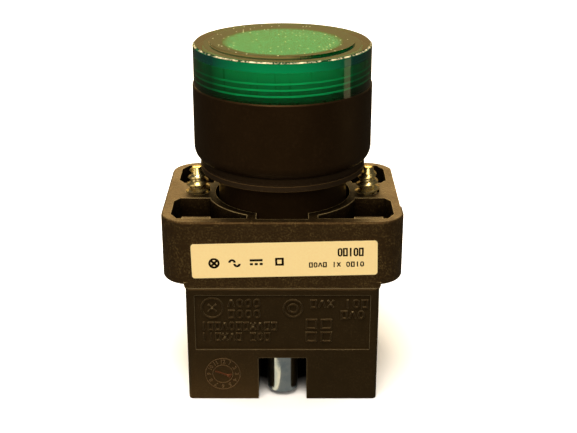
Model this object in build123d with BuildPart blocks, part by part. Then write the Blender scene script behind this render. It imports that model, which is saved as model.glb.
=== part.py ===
# Panel pilot light for a 22 mm hole: a screw-on green lens on a black head, a mounting base that
# clamps the panel with two screws, and a lamp-holder block for a 9 mm bayonet lamp.
# Millimetres, +Z along the head axis towards the lens, front of the light towards -Y.
# The origin is on the head axis at the block's foot, where the light stands.

import os
from math import asin, atan2, cos, degrees, hypot, radians, sin

from build123d import *

# Clearances
fit_gap = 0.05        # round piece in its own bore, or a turning thread
free_gap = 0.3        # pieces that slide or turn past each other
seat_gap = 0.1        # pieces laid into a pocket of the same assembly

# Lamp-holder block
block_width = 32.1
block_depth = 30.0
block_height = 21.0
block_corner = 0.7
block_foot_edge = 0.3
block_rim_edge = 0.3
channel_width = 8.2
channel_height = 8.0
channel_roof = 1.2
marking_side_margin = 1.45
marking_foot_margin = 1.6
marking_head_margin = 1.3
marking_depth = 0.3

# Mounting base
base_width = 40.0
base_height = 11.7
base_corner = 4.7
base_wall = 1.65
base_foot_edge = 0.6
base_rim_edge = 0.35
plinth_height = 0.5
plinth_overhang = 0.2
collar_wall = 1.4
collar_height = 4.2
base_floor = 4.6
lamp_hole_radius = 8.5
slot_width = 8.5
slot_rib = 1.6
front_wall = 1.5
pocket_depth = 3.3
pocket_land = 7.5
pocket_collar_wall = 0.6
pocket_front_wall = 1.8
pocket_back_chamfer = (1.0, 1.45)
pocket_front_chamfer = (1.15, 2.0)
pocket_rib_length = 4.7
pocket_rib_thickness = 0.5
pocket_rib_gap = 0.6
pocket_rib_drop = 0.15
pocket_rib_inset = 1.9
side_step = 0.3
side_step_from_front = 7.4
core_depth = 6.0
core_skin = 1.6

# Head
neck_radius = 11.0
neck_wall = 1.6
neck_edge = 0.4
panel_space = 4.8
lug_width = 7.4
lug_height = 1.9
lug_reach = 1.8
lock_angle = 45.0
bezel_overhang = 4.0
bezel_height = 12.6
bezel_round = (1.4, 2.0)
bezel_rim_edge = 0.2
bezel_web = 2.0
spigot_wall = 1.2
spigot_height = 4.3

# Gasket
gasket_width = 3.0
gasket_flange = 0.9
gasket_step = 0.5
gasket_height = 2.1
gasket_lip_width = 1.0
gasket_lip_height = 1.2
gasket_lip_offset = 1.5

# Lens and diffuser
lens_step = 0.2
lens_wall = 1.7
lens_height = 7.0
lens_top = 1.7
lens_edge = 0.35
lens_raised_radius = 12.05
lens_raised_height = 0.3
diffuser_radius = 9.9
diffuser_height = 1.0
diffuser_seat = 0.4

# Panel clamping screws
clamp_wall = 0.91
clamp_thread_radius = 2.1
clamp_tip_radius = 0.9
clamp_tip_length = 3.7
clamp_rise = 4.4
clamp_head_radius = 2.7
clamp_head_height = 2.0
clamp_grip = 7.6
clamp_slot_width = 0.9
clamp_slot_depth = 1.1

# Block fixing screws
fixing_inset = 3.5
fixing_head_radius = 2.6
fixing_head_height = 12.3
fixing_foot = 0.7
fixing_thread_radius = 1.5
fixing_slot_width = 0.9
fixing_slot_depth = 1.2

# Terminals
terminal_inset_x = 5.45
terminal_inset_y = 6.4
terminal_below = 0.6
plate_drop = 6.0
plate_extra_length = 1.0
plate_ledge = 0.5
plate_thickness = 1.2
tail_width = 3.0
tail_thickness = 0.8
strip_thickness = 0.6
saddle_size = 6.2
saddle_thickness = 1.0
saddle_lip = 0.6
wire_gap = 3.5
terminal_screw_radius = 1.75
terminal_head_radius = 2.8
terminal_head_height = 2.4
terminal_screw_above_plate = 1.6
terminal_access_radius = 2.4

# Lamp socket
shell_wall = 0.4
shell_flange_radius = 6.0
shell_flange_height = 0.4
insulator_radius = 6.1
insulator_height = 1.2
spring_well_radius = 4.6
lamp_travel = 1.2
spring_room = 2.6
contact_stem_radius = 1.5
contact_height = 3.8
contact_flange_radius = 2.6
contact_flange_height = 0.6
contact_drop = 0.6
spring_radius = 1.9
spring_wire = 0.4
spring_turns = 3
pin_slot_width = 2.0
pin_lane_drop = 1.4
pin_seat_angle = 42.0

# Bayonet lamp
lamp_cap_radius = 4.45
lamp_cap_gap = 0.2
lamp_cap_height = 9.1
lamp_length = 28.0
lamp_insulator_height = 0.8
lamp_insulator_radius = 3.2
lamp_tip_radius = 1.6
lamp_tip_height = 0.4
lamp_pin_height = 6.7
lamp_pin_radius = 0.78
lamp_pin_reach = 5.5
bulb_radius = 5.1

# Label
label_width = 30.4
label_height = 6.05
label_thickness = 0.12
label_corner = 0.5
label_x = 0.33
label_rise = 5.23
label_tilt = 1.3

# Radii and places across the axis that follow from the sizes above
base_depth = block_depth
neck_bore = neck_radius - neck_wall
bezel_radius = neck_radius + bezel_overhang
lens_radius = bezel_radius - lens_step
spigot_radius = lens_radius - lens_wall - free_gap
spigot_bore = spigot_radius - spigot_wall
gasket_radius = neck_radius + gasket_width
lip_in = neck_radius + gasket_lip_offset - gasket_lip_width / 2
lip_out = lip_in + gasket_lip_width
collar_bore = neck_radius + 2 * free_gap
collar_radius = collar_bore + collar_wall
lug_radius = neck_radius + lug_reach
lug_half_angle = degrees(asin(lug_width / 2 / neck_radius))
slot_half_angle = degrees(asin(slot_width / 2 / lug_radius))
clamp_x = collar_bore + clamp_wall + clamp_thread_radius + fit_gap
fixing_y = block_depth / 2 - fixing_inset
terminal_x = block_width / 2 - terminal_inset_x
terminal_y = block_depth / 2 - terminal_inset_y
tail_run = hypot(terminal_x, terminal_y)
window_width = saddle_size + 2 * free_gap
plate_length = saddle_size + plate_extra_length
plate_width = window_width + 2 * plate_ledge
shell_bore = lamp_cap_radius + lamp_cap_gap
leg_in = insulator_radius + 2 * seat_gap
leg_out = leg_in + tail_thickness

# Heights that follow from the sizes above
base_bottom = block_height
base_top = base_bottom + base_height
floor_top = base_bottom + base_floor
gasket_bottom = base_top + panel_space
bezel_bottom = gasket_bottom + gasket_height
lens_bottom = bezel_bottom + bezel_height
lens_crown = lens_bottom + lens_height
neck_bottom = floor_top + free_gap
collar_foot = base_top - collar_height
lug_foot = neck_bottom + free_gap
clamp_head_top = base_top - clamp_grip
clamp_tip = base_top + clamp_rise
fixing_head_top = fixing_foot + fixing_head_height
plate_foot = block_height - plate_drop
plate_top = plate_foot + plate_thickness
saddle_top = plate_foot - wire_gap
terminal_head_top = saddle_top - saddle_thickness
terminal_head_foot = terminal_head_top - terminal_head_height
terminal_floor = terminal_head_foot - terminal_below
tail_foot = plate_top - tail_thickness
strip_foot = channel_height + channel_roof
contact_foot = strip_foot + strip_thickness + spring_room
insulator_foot = contact_foot + contact_flange_height + contact_drop
shell_foot = insulator_foot + insulator_height
tab_foot = shell_foot + shell_flange_height + 2 * seat_gap
lamp_foot = contact_foot + contact_height
cap_foot = lamp_foot + lamp_tip_height + lamp_insulator_height
bulb_foot = cap_foot + lamp_cap_height
bulb_top = lamp_foot + lamp_length
pin_height = lamp_foot + lamp_pin_height
shell_top = bulb_foot - lamp_travel

sides = {"left": -1, "right": 1}
ends = {"front": -1, "back": 1}


def terminal_spot(side):
    """Where a terminal's screw stands: the left one towards the back, the right one the front."""
    return (side * terminal_x, -side * terminal_y)


def tail_angle(side):
    """Direction in degrees from the lamp axis to a terminal."""
    x, y = terminal_spot(side)
    return degrees(atan2(y, x))


# Lens cap: a green cup that screws down over the head's spigot
with BuildPart() as lens_cap:
    with BuildSketch(Plane.XZ):
        with BuildLine():
            wall_bore = spigot_radius + free_gap
            ceiling = lens_crown - lens_top
            rim = lens_crown - lens_raised_height
            seat_radius = diffuser_radius + fit_gap
            Polyline(
                (0, ceiling + diffuser_seat), (seat_radius, ceiling + diffuser_seat),
                (seat_radius, ceiling), (wall_bore, ceiling), (wall_bore, lens_bottom),
                (lens_radius, lens_bottom), (lens_radius, rim - lens_edge),
                (lens_radius - lens_edge, rim), (lens_raised_radius, rim),
                (lens_raised_radius, lens_crown), (0, lens_crown), close=True,
            )
        make_face()
    revolve(axis=Axis.Z)

# Diffuser: a frosted disc snapped into the lens's ceiling
with BuildPart() as diffuser_disc:
    with BuildSketch(Plane.XY.offset(lens_crown - lens_top + diffuser_seat - seat_gap)):
        Circle(diffuser_radius)
    extrude(amount=-diffuser_height)
    fillet(diffuser_disc.edges().group_by(Axis.Z)[0], radius=diffuser_height / 5)

# Head: bezel, lens spigot and neck in one moulding, with two bayonet lugs at the neck's foot
with BuildPart() as head_body:
    with BuildSketch(Plane.XZ):
        round_x, round_z = bezel_round
        groove_in = lip_in - seat_gap
        groove_out = lip_out + seat_gap
        groove_top = bezel_bottom + gasket_lip_height + seat_gap
        cup_floor = groove_top + bezel_web
        with BuildLine():
            Polyline(
                (bezel_radius - round_x, bezel_bottom), (groove_out, bezel_bottom),
                (groove_out, groove_top), (groove_in, groove_top), (groove_in, bezel_bottom),
                (neck_radius, bezel_bottom), (neck_radius, neck_bottom + neck_edge),
                (neck_radius - neck_edge, neck_bottom), (neck_bore, neck_bottom),
                (neck_bore, cup_floor - (spigot_bore - neck_bore)), (spigot_bore, cup_floor),
                (spigot_bore, lens_bottom + spigot_height),
                (spigot_radius - neck_edge, lens_bottom + spigot_height),
                (spigot_radius, lens_bottom + spigot_height - neck_edge),
                (spigot_radius, lens_bottom), (bezel_radius - bezel_rim_edge, lens_bottom),
                (bezel_radius, lens_bottom - bezel_rim_edge),
                (bezel_radius, bezel_bottom + round_z),
            )
            EllipticalCenterArc(
                center=(bezel_radius - round_x, bezel_bottom + round_z),
                x_radius=round_x, y_radius=round_z, start_angle=-90, arc_size=90,
            )
        make_face()
    revolve(axis=Axis.Z)
    with BuildSketch(Plane.XY.offset(lug_foot)):
        with PolarLocations(0, 2, start_angle=-90 - lock_angle):
            with Locations((neck_bore + lug_radius / 2, 0)):
                Rectangle(lug_radius, lug_width)
        Circle(lug_radius, mode=Mode.INTERSECT)
        Circle(neck_bore, mode=Mode.SUBTRACT)
    extrude(amount=lug_height)

# Gasket: flange against the panel, upper band under the bezel, lip in the bezel's groove
with BuildPart() as sealing_gasket:
    with BuildSketch(Plane.XZ):
        with BuildLine():
            gasket_bore = neck_radius + fit_gap
            band_foot = gasket_bottom + gasket_flange
            lip_top = bezel_bottom + gasket_lip_height
            Polyline(
                (gasket_bore, gasket_bottom), (gasket_radius, gasket_bottom),
                (gasket_radius, band_foot), (gasket_radius - gasket_step, band_foot),
                (gasket_radius - gasket_step, bezel_bottom), (lip_out, bezel_bottom), (lip_out, lip_top),
                (lip_in, lip_top), (lip_in, bezel_bottom), (gasket_bore, bezel_bottom), close=True,
            )
        make_face()
    revolve(axis=Axis.Z)

# Mounting base: rounded box on a plinth the size of the block
with BuildPart() as mounting_base:
    with BuildSketch(Plane.XY.offset(base_bottom + plinth_height)):
        RectangleRounded(base_width, base_depth, base_corner)
    extrude(amount=base_height - plinth_height)
    fillet(mounting_base.edges().group_by(Axis.Z)[0], radius=base_foot_edge)
    fillet(mounting_base.edges().group_by(Axis.Z)[-1], radius=base_rim_edge)
    plinth_width = block_width + 2 * plinth_overhang
    with BuildSketch(Plane.XY.offset(base_bottom)):
        Rectangle(block_width, base_depth)
    with BuildSketch(Plane.XY.offset(base_bottom + plinth_height)):
        Rectangle(plinth_width, base_depth)
    loft()
    with BuildSketch(Plane.XY.offset(base_bottom + plinth_height)):
        Rectangle(plinth_width, base_depth)
    extrude(amount=base_foot_edge)
    # Bore for the neck, and the way past it for the lamp
    with BuildSketch(Plane.XY.offset(base_top)):
        Circle(collar_bore)
    extrude(amount=floor_top - base_top, mode=Mode.SUBTRACT)
    with BuildSketch(Plane.XY.offset(base_bottom)):
        Circle(lamp_hole_radius)
    extrude(amount=base_floor, mode=Mode.SUBTRACT)
    # Slots that let the lugs down, front and back
    slot_end = base_depth / 2 - front_wall
    with BuildSketch(Plane.XY.offset(base_top)):
        Rectangle(slot_width, 2 * slot_end)
        Circle(neck_bore, mode=Mode.SUBTRACT)
    extrude(amount=neck_bottom - base_top, mode=Mode.SUBTRACT)
    # Undercuts below the collar, in which the lugs turn from the slots to their lock
    lug_space = lug_radius + free_gap
    for end in ends.values():
        undercut_start = radians(90 * end - lock_angle - lug_half_angle - 2)
        undercut_plane = Plane(
            origin=(0, 0, 0), x_dir=(cos(undercut_start), sin(undercut_start), 0),
            z_dir=(sin(undercut_start), -cos(undercut_start), 0),
        )
        with BuildSketch(undercut_plane):
            with Locations((neck_radius, neck_bottom)):
                Rectangle(
                    lug_space - neck_radius, collar_foot - neck_bottom,
                    align=(Align.MIN, Align.MIN),
                )
        revolve(
            axis=Axis.Z, revolution_arc=lock_angle + lug_half_angle + slot_half_angle + 2,
            mode=Mode.SUBTRACT,
        )
    # Corner pockets round the collar
    pocket_outer_x = base_width / 2 - base_wall
    pocket_inner_x = collar_bore + pocket_collar_wall
    pocket_near_y = pocket_land / 2
    pocket_far_y = base_depth / 2 - pocket_front_wall
    rib_x = slot_width / 2 + slot_rib
    near_x, near_y = pocket_back_chamfer
    far_x, far_y = pocket_front_chamfer
    with BuildSketch(Plane.XY.offset(base_top)):
        with Locations((rib_x, pocket_near_y)):
            Rectangle(
                pocket_inner_x - rib_x, pocket_far_y - pocket_near_y, align=(Align.MIN, Align.MIN)
            )
        Circle(collar_radius, mode=Mode.SUBTRACT)
        with BuildLine():
            Polyline(
                (pocket_inner_x, pocket_near_y), (pocket_outer_x - near_x, pocket_near_y),
                (pocket_outer_x, pocket_near_y + near_y), (pocket_outer_x, pocket_far_y - far_y),
                (pocket_outer_x - far_x, pocket_far_y), (pocket_inner_x, pocket_far_y), close=True,
            )
        make_face()
        mirror(about=Plane.YZ)
        mirror(about=Plane.XZ)
    extrude(amount=-pocket_depth, mode=Mode.SUBTRACT)
    # Thin ribs that stand in the front pockets, close to the front wall
    pocket_rib_x = pocket_outer_x - pocket_rib_inset - pocket_rib_length / 2
    pocket_rib_y = pocket_far_y - pocket_rib_gap - pocket_rib_thickness / 2
    with BuildSketch(Plane.XY.offset(base_top - pocket_depth)):
        with Locations(*[(side * pocket_rib_x, -pocket_rib_y) for side in sides.values()]):
            Rectangle(pocket_rib_length, pocket_rib_thickness)
    extrude(amount=pocket_depth - pocket_rib_drop)
    # Shallow step in the right wall, behind the front corner
    with BuildSketch(Plane.XY.offset(base_bottom)):
        with Locations((base_width / 2 - side_step, side_step_from_front - base_depth / 2)):
            Rectangle(
                side_step, base_depth - side_step_from_front, align=(Align.MIN, Align.MIN)
            )
    extrude(amount=base_height, mode=Mode.SUBTRACT)
    # Coring of the corners from below
    core_near_y = pocket_near_y + core_skin / 2
    with BuildSketch(Plane.XY.offset(base_bottom)):
        with Locations((pocket_inner_x + core_skin / 2, core_near_y)):
            Rectangle(
                pocket_outer_x - pocket_inner_x - core_skin / 2, pocket_far_y - far_y - core_near_y,
                align=(Align.MIN, Align.MIN),
            )
        mirror(about=Plane.YZ)
        mirror(about=Plane.XZ)
    extrude(amount=core_depth, mode=Mode.SUBTRACT)
    # Clamping screws: a thread hole with room for the head below it
    clamp_spots = [(side * clamp_x, 0) for side in sides.values()]
    with BuildSketch(Plane.XY.offset(base_bottom)):
        with Locations(*clamp_spots):
            Circle(clamp_thread_radius + fit_gap)
    extrude(amount=base_height, mode=Mode.SUBTRACT)
    with BuildSketch(Plane.XY.offset(base_bottom)):
        with Locations(*clamp_spots):
            Circle(clamp_head_radius + free_gap)
    extrude(amount=clamp_head_top + seat_gap - base_bottom, mode=Mode.SUBTRACT)
    # Threaded holes for the block's screws
    fixing_spots = [(0, end * fixing_y) for end in ends.values()]
    with BuildSketch(Plane.XY.offset(base_bottom)):
        with Locations(*fixing_spots):
            Circle(fixing_thread_radius + fit_gap)
    extrude(amount=base_floor, mode=Mode.SUBTRACT)

# Label: a sticker laid slightly askew on the base's front
label_plane = Plane(
    origin=(label_x, -base_depth / 2, base_bottom + label_rise), x_dir=(1, 0, 0), z_dir=(0, -1, 0)
)
with BuildPart() as base_label:
    with BuildSketch(label_plane):
        RectangleRounded(label_width, label_height, label_corner, rotation=label_tilt)
    extrude(amount=label_thickness)

# Lamp-holder block
with BuildPart() as lamp_block:
    with BuildSketch():
        RectangleRounded(block_width, block_depth, block_corner)
    extrude(amount=block_height)
    fillet(lamp_block.edges().group_by(Axis.Z)[0], radius=block_foot_edge)
    chamfer(lamp_block.edges().group_by(Axis.Z)[-1], length=block_rim_edge)
    # Shallow marking panel on the front
    with BuildSketch(Plane.XZ.offset(block_depth / 2)):
        marking_foot = channel_height + marking_foot_margin
        marking_height = block_height - marking_head_margin - marking_foot
        with Locations((0, marking_foot + marking_height / 2)):
            Rectangle(block_width - 2 * marking_side_margin, marking_height)
    extrude(amount=-marking_depth, mode=Mode.SUBTRACT)
    # Channel along the foot, with the fixing screws in its two mouths
    with BuildSketch(Plane.XZ.offset(-block_depth / 2)):
        with Locations((0, channel_height / 2)):
            Rectangle(channel_width, channel_height)
    extrude(amount=block_depth, mode=Mode.SUBTRACT)
    with BuildSketch():
        with Locations(*fixing_spots):
            Circle(fixing_head_radius + free_gap)
    extrude(amount=fixing_head_top + free_gap, mode=Mode.SUBTRACT)
    with BuildSketch():
        with Locations(*fixing_spots):
            Circle(fixing_thread_radius + free_gap)
    extrude(amount=block_height, mode=Mode.SUBTRACT)
    # Driver channels in the sides, below the clamping screws
    with BuildSketch():
        with Locations(*clamp_spots):
            Circle(clamp_head_radius + free_gap)
    extrude(amount=block_height, mode=Mode.SUBTRACT)
    # Stepped well for the socket, insulator and spring
    with BuildSketch(Plane.XY.offset(insulator_foot)):
        Circle(insulator_radius + seat_gap)
    extrude(amount=block_height - insulator_foot, mode=Mode.SUBTRACT)
    with BuildSketch(Plane.XY.offset(strip_foot)):
        Circle(spring_well_radius)
    extrude(amount=block_height - strip_foot, mode=Mode.SUBTRACT)
    # Terminal chambers: open at the side for the wire, wider above for the plate
    chamber_near = terminal_x - plate_length / 2 - seat_gap
    for side in sides.values():
        x, y = terminal_spot(side)
        with BuildSketch(Plane.XY.offset(plate_foot)):
            with Locations((x, y)):
                Rectangle(plate_length + 2 * seat_gap, plate_width + 2 * seat_gap)
        extrude(amount=block_height - plate_foot, mode=Mode.SUBTRACT)
        with BuildSketch(Plane.XY.offset(terminal_floor)):
            with Locations((side * (chamber_near + block_width / 2) / 2, y)):
                Rectangle(block_width / 2 - chamber_near, window_width)
        extrude(amount=plate_foot - terminal_floor, mode=Mode.SUBTRACT)
        with BuildSketch():
            with Locations((x, y)):
                Circle(terminal_access_radius)
        extrude(amount=terminal_floor, mode=Mode.SUBTRACT)
        # Slots for the tail: level with the plate, then to the shell or down to the strip
        slot_reach = leg_out + seat_gap
        slot_floor = min(plate_foot, tab_foot - seat_gap) if side < 0 else strip_foot
        for start, end, floor in ((leg_in, tail_run, plate_foot), (0, slot_reach, slot_floor)):
            with BuildSketch(Plane.XY.offset(floor)):
                with Locations(Location((0, 0, 0), (0, 0, tail_angle(side)))):
                    with Locations(((start + end) / 2, 0)):
                        Rectangle(end - start, tail_width + 2 * seat_gap)
            extrude(amount=block_height - floor, mode=Mode.SUBTRACT)


def make_clamp_screw(side):
    """Self-tapping clamping screw, head down, its tip above the base."""
    with BuildPart() as screw:
        with BuildSketch(Plane.XZ):
            with BuildLine():
                foot = clamp_head_top - clamp_head_height
                Polyline(
                    (0, foot), (clamp_head_radius, foot), (clamp_head_radius, clamp_head_top),
                    (clamp_thread_radius, clamp_head_top),
                    (clamp_thread_radius, clamp_tip - clamp_tip_length),
                    (clamp_tip_radius, clamp_tip), (0, clamp_tip), close=True,
                )
            make_face()
        revolve(axis=Axis.Z)
        with BuildSketch(Plane.XY.offset(foot)):
            Rectangle(2 * clamp_head_radius, clamp_slot_width)
            Rectangle(clamp_slot_width, 2 * clamp_head_radius)
            Circle(clamp_head_radius * 0.7, mode=Mode.INTERSECT)
        extrude(amount=clamp_slot_depth, mode=Mode.SUBTRACT)
    return screw.part.moved(Location((side * clamp_x, 0, 0)))


def make_fixing_screw(end):
    """Long cylinder-headed screw that holds the block to the base."""
    with BuildPart() as screw:
        with BuildSketch(Plane.XY.offset(fixing_foot)):
            Circle(fixing_head_radius)
        extrude(amount=fixing_head_height)
        chamfer(screw.edges(), length=0.2)
        with BuildSketch(Plane.XY.offset(fixing_head_top)):
            Circle(fixing_thread_radius)
        extrude(amount=floor_top - free_gap - seat_gap - fixing_head_top)
        with BuildSketch(Plane.XY.offset(fixing_foot)):
            Rectangle(2 * fixing_head_radius, fixing_slot_width)
        extrude(amount=fixing_slot_depth, mode=Mode.SUBTRACT)
    return screw.part.moved(Location((0, end * fixing_y, 0)))


def make_terminal_plate(side):
    """Brass plate with a tail: to the shell on the left, down to the spring on the right."""
    x, y = terminal_spot(side)
    with BuildPart() as plate:
        with BuildSketch(Plane.XY.offset(plate_foot)):
            with Locations((x, y)):
                Rectangle(plate_length, plate_width)
        extrude(amount=plate_thickness)
        # Tail level with the plate, leg beside the socket, then tab or strip towards the axis
        if side < 0:
            inner_start, inner_foot, inner_top = shell_bore + shell_wall, tab_foot, tab_foot + tail_thickness
        else:
            inner_start, inner_foot, inner_top = 0, strip_foot, strip_foot + strip_thickness
        leg_foot = min(tail_foot, inner_foot)
        leg_top = max(plate_top, inner_top)
        for start, end, foot, top in (
            (leg_in, tail_run, tail_foot, plate_top),
            (leg_in, leg_out, leg_foot, leg_top),
            (inner_start, leg_out, inner_foot, inner_top),
        ):
            with BuildSketch(Plane.XY.offset(foot)):
                with Locations(Location((0, 0, 0), (0, 0, tail_angle(side)))):
                    with Locations(((start + end) / 2, 0)):
                        Rectangle(end - start, tail_width)
            extrude(amount=top - foot)
        if side > 0:
            with BuildSketch(Plane.XY.offset(strip_foot)):
                Circle(contact_flange_radius)
            extrude(amount=strip_thickness)
        with BuildSketch(Plane.XY.offset(plate_foot)):
            with Locations((x, y)):
                Circle(terminal_screw_radius + fit_gap)
        extrude(amount=plate_thickness, mode=Mode.SUBTRACT)
    return plate.part


def make_terminal_clamp(side):
    """Saddle that lifts the wire against the plate."""
    x, y = terminal_spot(side)
    with BuildPart() as clamp:
        with BuildSketch(Plane.XY.offset(saddle_top - saddle_thickness)):
            with Locations((x, y)):
                Rectangle(saddle_size, saddle_size)
                Circle(terminal_screw_radius + fit_gap, mode=Mode.SUBTRACT)
        extrude(amount=saddle_thickness)
        with BuildSketch(Plane.XY.offset(saddle_top)):
            with Locations((x, y)):
                Rectangle(saddle_size, saddle_size)
                Rectangle(saddle_size, saddle_size - 2 * saddle_lip, mode=Mode.SUBTRACT)
        extrude(amount=saddle_lip)
    return clamp.part


def make_terminal_screw(side):
    """Terminal screw, head down below the saddle."""
    with BuildPart() as screw:
        with BuildSketch(Plane.XY.offset(terminal_head_foot)):
            Circle(terminal_head_radius)
        extrude(amount=terminal_head_height)
        chamfer(screw.edges().group_by(Axis.Z)[0], length=0.3)
        with BuildSketch(Plane.XY.offset(terminal_head_top)):
            Circle(terminal_screw_radius)
        extrude(amount=plate_top + terminal_screw_above_plate - terminal_head_top)
        with BuildSketch(Plane.XY.offset(terminal_head_foot)):
            Rectangle(2 * terminal_head_radius, clamp_slot_width)
        extrude(amount=clamp_slot_depth, mode=Mode.SUBTRACT)
    x, y = terminal_spot(side)
    return screw.part.moved(Location((x, y, 0)))


# Socket shell: flanged tube with two J-shaped slots for the lamp's pins
with BuildPart() as socket_shell:
    with BuildSketch(Plane.XY.offset(shell_foot)):
        Circle(shell_flange_radius)
        Circle(shell_bore, mode=Mode.SUBTRACT)
    extrude(amount=shell_flange_height)
    with BuildSketch(Plane.XY.offset(shell_foot)):
        Circle(shell_bore + shell_wall)
        Circle(shell_bore, mode=Mode.SUBTRACT)
    extrude(amount=shell_top - shell_foot)
    lane_foot = pin_height - pin_lane_drop - pin_slot_width / 2
    seat_top = pin_height + pin_slot_width / 2
    for turn in (0, 180):
        for angle, foot, top in (
            (turn - pin_seat_angle, lane_foot, shell_top), (turn, lane_foot, seat_top)
        ):
            with BuildSketch(Plane.XY.offset(foot)):
                with Locations(Location((0, 0, 0), (0, 0, angle))):
                    with Locations((shell_bore + shell_wall / 2, 0)):
                        Rectangle(4 * shell_wall, pin_slot_width)
            extrude(amount=top - foot, mode=Mode.SUBTRACT)
        lane_start = radians(turn - pin_seat_angle)
        lane_plane = Plane(
            origin=(0, 0, 0), x_dir=(cos(lane_start), sin(lane_start), 0),
            z_dir=(sin(lane_start), -cos(lane_start), 0),
        )
        with BuildSketch(lane_plane):
            with Locations((shell_bore - shell_wall, lane_foot)):
                Rectangle(3 * shell_wall, pin_slot_width, align=(Align.MIN, Align.MIN))
        revolve(axis=Axis.Z, revolution_arc=pin_seat_angle, mode=Mode.SUBTRACT)

# Insulating disc between the shell and the spring well
with BuildPart() as socket_insulator:
    with BuildSketch(Plane.XY.offset(insulator_foot)):
        Circle(insulator_radius)
        Circle(contact_stem_radius + free_gap, mode=Mode.SUBTRACT)
    extrude(amount=insulator_height)

# Centre contact: button on a flange, pushed up by the spring
with BuildPart() as centre_contact:
    with BuildSketch(Plane.XY.offset(contact_foot)):
        Circle(contact_flange_radius)
    extrude(amount=contact_flange_height)
    with BuildSketch(Plane.XY.offset(contact_foot)):
        Circle(contact_stem_radius)
    extrude(amount=contact_height)

# Spring under the contact
with BuildPart() as contact_spring:
    spring_foot = strip_foot + strip_thickness + spring_wire / 2 + seat_gap / 10
    spring_rise = contact_foot - spring_wire / 2 - seat_gap / 10 - spring_foot
    with BuildLine() as coil:
        Helix(pitch=spring_rise / spring_turns, height=spring_rise, radius=spring_radius,
              center=(0, 0, spring_foot))
    with BuildSketch(Plane(origin=coil.line @ 0, z_dir=coil.line % 0)):
        Circle(spring_wire / 2)
    sweep(path=coil.line, is_frenet=True)

# Lamp: cap with two pins, black glass foot, solder tip and bulb
with BuildPart() as lamp_cap:
    with BuildSketch(Plane.XY.offset(cap_foot)):
        Circle(lamp_cap_radius)
    extrude(amount=lamp_cap_height)
    with BuildSketch(Plane.YZ.offset(-lamp_pin_reach)):
        with Locations((0, pin_height)):
            Circle(lamp_pin_radius)
    extrude(amount=2 * lamp_pin_reach)

with BuildPart() as lamp_insulator:
    with BuildSketch(Plane.XY.offset(lamp_foot + lamp_tip_height)):
        Circle(lamp_tip_radius)
    with BuildSketch(Plane.XY.offset(cap_foot)):
        Circle(lamp_insulator_radius)
    loft()

with BuildPart() as lamp_tip:
    with BuildSketch(Plane.XY.offset(lamp_foot)):
        Circle(lamp_tip_radius)
    extrude(amount=lamp_tip_height)
    fillet(lamp_tip.edges().group_by(Axis.Z)[0], radius=lamp_tip_height / 2)

with BuildPart() as lamp_bulb:
    with BuildSketch(Plane.XZ):
        with BuildLine():
            Polyline(
                (0, bulb_top), (0, bulb_foot), (lamp_cap_radius - seat_gap, bulb_foot),
                (bulb_radius, bulb_foot + 1.5), (bulb_radius, bulb_top - bulb_radius),
            )
            CenterArc((0, bulb_top - bulb_radius), bulb_radius, 0, 90)
        make_face()
    revolve(axis=Axis.Z)

pieces = {
    "lens_cap": lens_cap.part,
    "diffuser_disc": diffuser_disc.part,
    "head_body": head_body.part,
    "sealing_gasket": sealing_gasket.part,
    "mounting_base": mounting_base.part,
    "base_label": base_label.part,
    "lamp_block": lamp_block.part,
    "socket_shell": socket_shell.part,
    "socket_insulator": socket_insulator.part,
    "centre_contact": centre_contact.part,
    "contact_spring": contact_spring.part,
    "lamp_cap": lamp_cap.part,
    "lamp_insulator": lamp_insulator.part,
    "lamp_tip": lamp_tip.part,
    "lamp_bulb": lamp_bulb.part,
}
for word, side in sides.items():
    pieces[f"clamp_screw_{word}"] = make_clamp_screw(side)
    pieces[f"terminal_plate_{word}"] = make_terminal_plate(side)
    pieces[f"terminal_clamp_{word}"] = make_terminal_clamp(side)
    pieces[f"terminal_screw_{word}"] = make_terminal_screw(side)
for word, end in ends.items():
    pieces[f"block_screw_{word}"] = make_fixing_screw(end)

os.makedirs("parts", exist_ok=True)
for name, piece in pieces.items():
    piece.label = name
    export_step(piece, f"parts/{name}.step")
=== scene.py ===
"""Looks of a panel pilot light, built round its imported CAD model.

A clear green lens screws on to a near-black head. Below the head's rubber gasket a moulded base
carries two yellow clamping screws and a cream label, and under it stands the lamp-holder block with
raised marks and a moulded date dial. Lengths are millimetres until a mesh or a socket takes them.
"""

import logging
import math
from dataclasses import dataclass, field
from enum import Enum

import bmesh
import bpy
from bmesh.types import BMesh, BMVert
from bpy.types import Material, Node, NodeSocket, NodeTree, Object, Scene
from mathutils import Matrix, Vector

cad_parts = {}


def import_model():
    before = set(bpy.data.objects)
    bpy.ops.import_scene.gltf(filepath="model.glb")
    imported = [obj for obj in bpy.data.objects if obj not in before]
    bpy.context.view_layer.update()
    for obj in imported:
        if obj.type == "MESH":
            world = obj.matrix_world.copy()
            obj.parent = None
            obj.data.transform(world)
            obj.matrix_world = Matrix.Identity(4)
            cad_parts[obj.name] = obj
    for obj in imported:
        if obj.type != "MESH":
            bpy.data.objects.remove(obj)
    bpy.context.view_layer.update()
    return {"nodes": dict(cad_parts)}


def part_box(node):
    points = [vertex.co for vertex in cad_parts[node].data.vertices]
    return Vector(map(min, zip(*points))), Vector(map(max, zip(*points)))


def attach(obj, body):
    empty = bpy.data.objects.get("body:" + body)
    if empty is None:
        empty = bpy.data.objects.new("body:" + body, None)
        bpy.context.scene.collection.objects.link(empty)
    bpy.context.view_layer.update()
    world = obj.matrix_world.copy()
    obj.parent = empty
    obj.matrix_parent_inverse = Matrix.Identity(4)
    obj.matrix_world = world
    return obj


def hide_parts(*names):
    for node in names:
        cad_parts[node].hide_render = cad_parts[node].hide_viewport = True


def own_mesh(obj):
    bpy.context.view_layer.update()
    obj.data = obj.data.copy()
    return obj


MM = 0.001
NEAR = 1e-4
ANY_RADIUS = (0.0, 60.0)
log = logging.getLogger("pilot_light")


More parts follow.
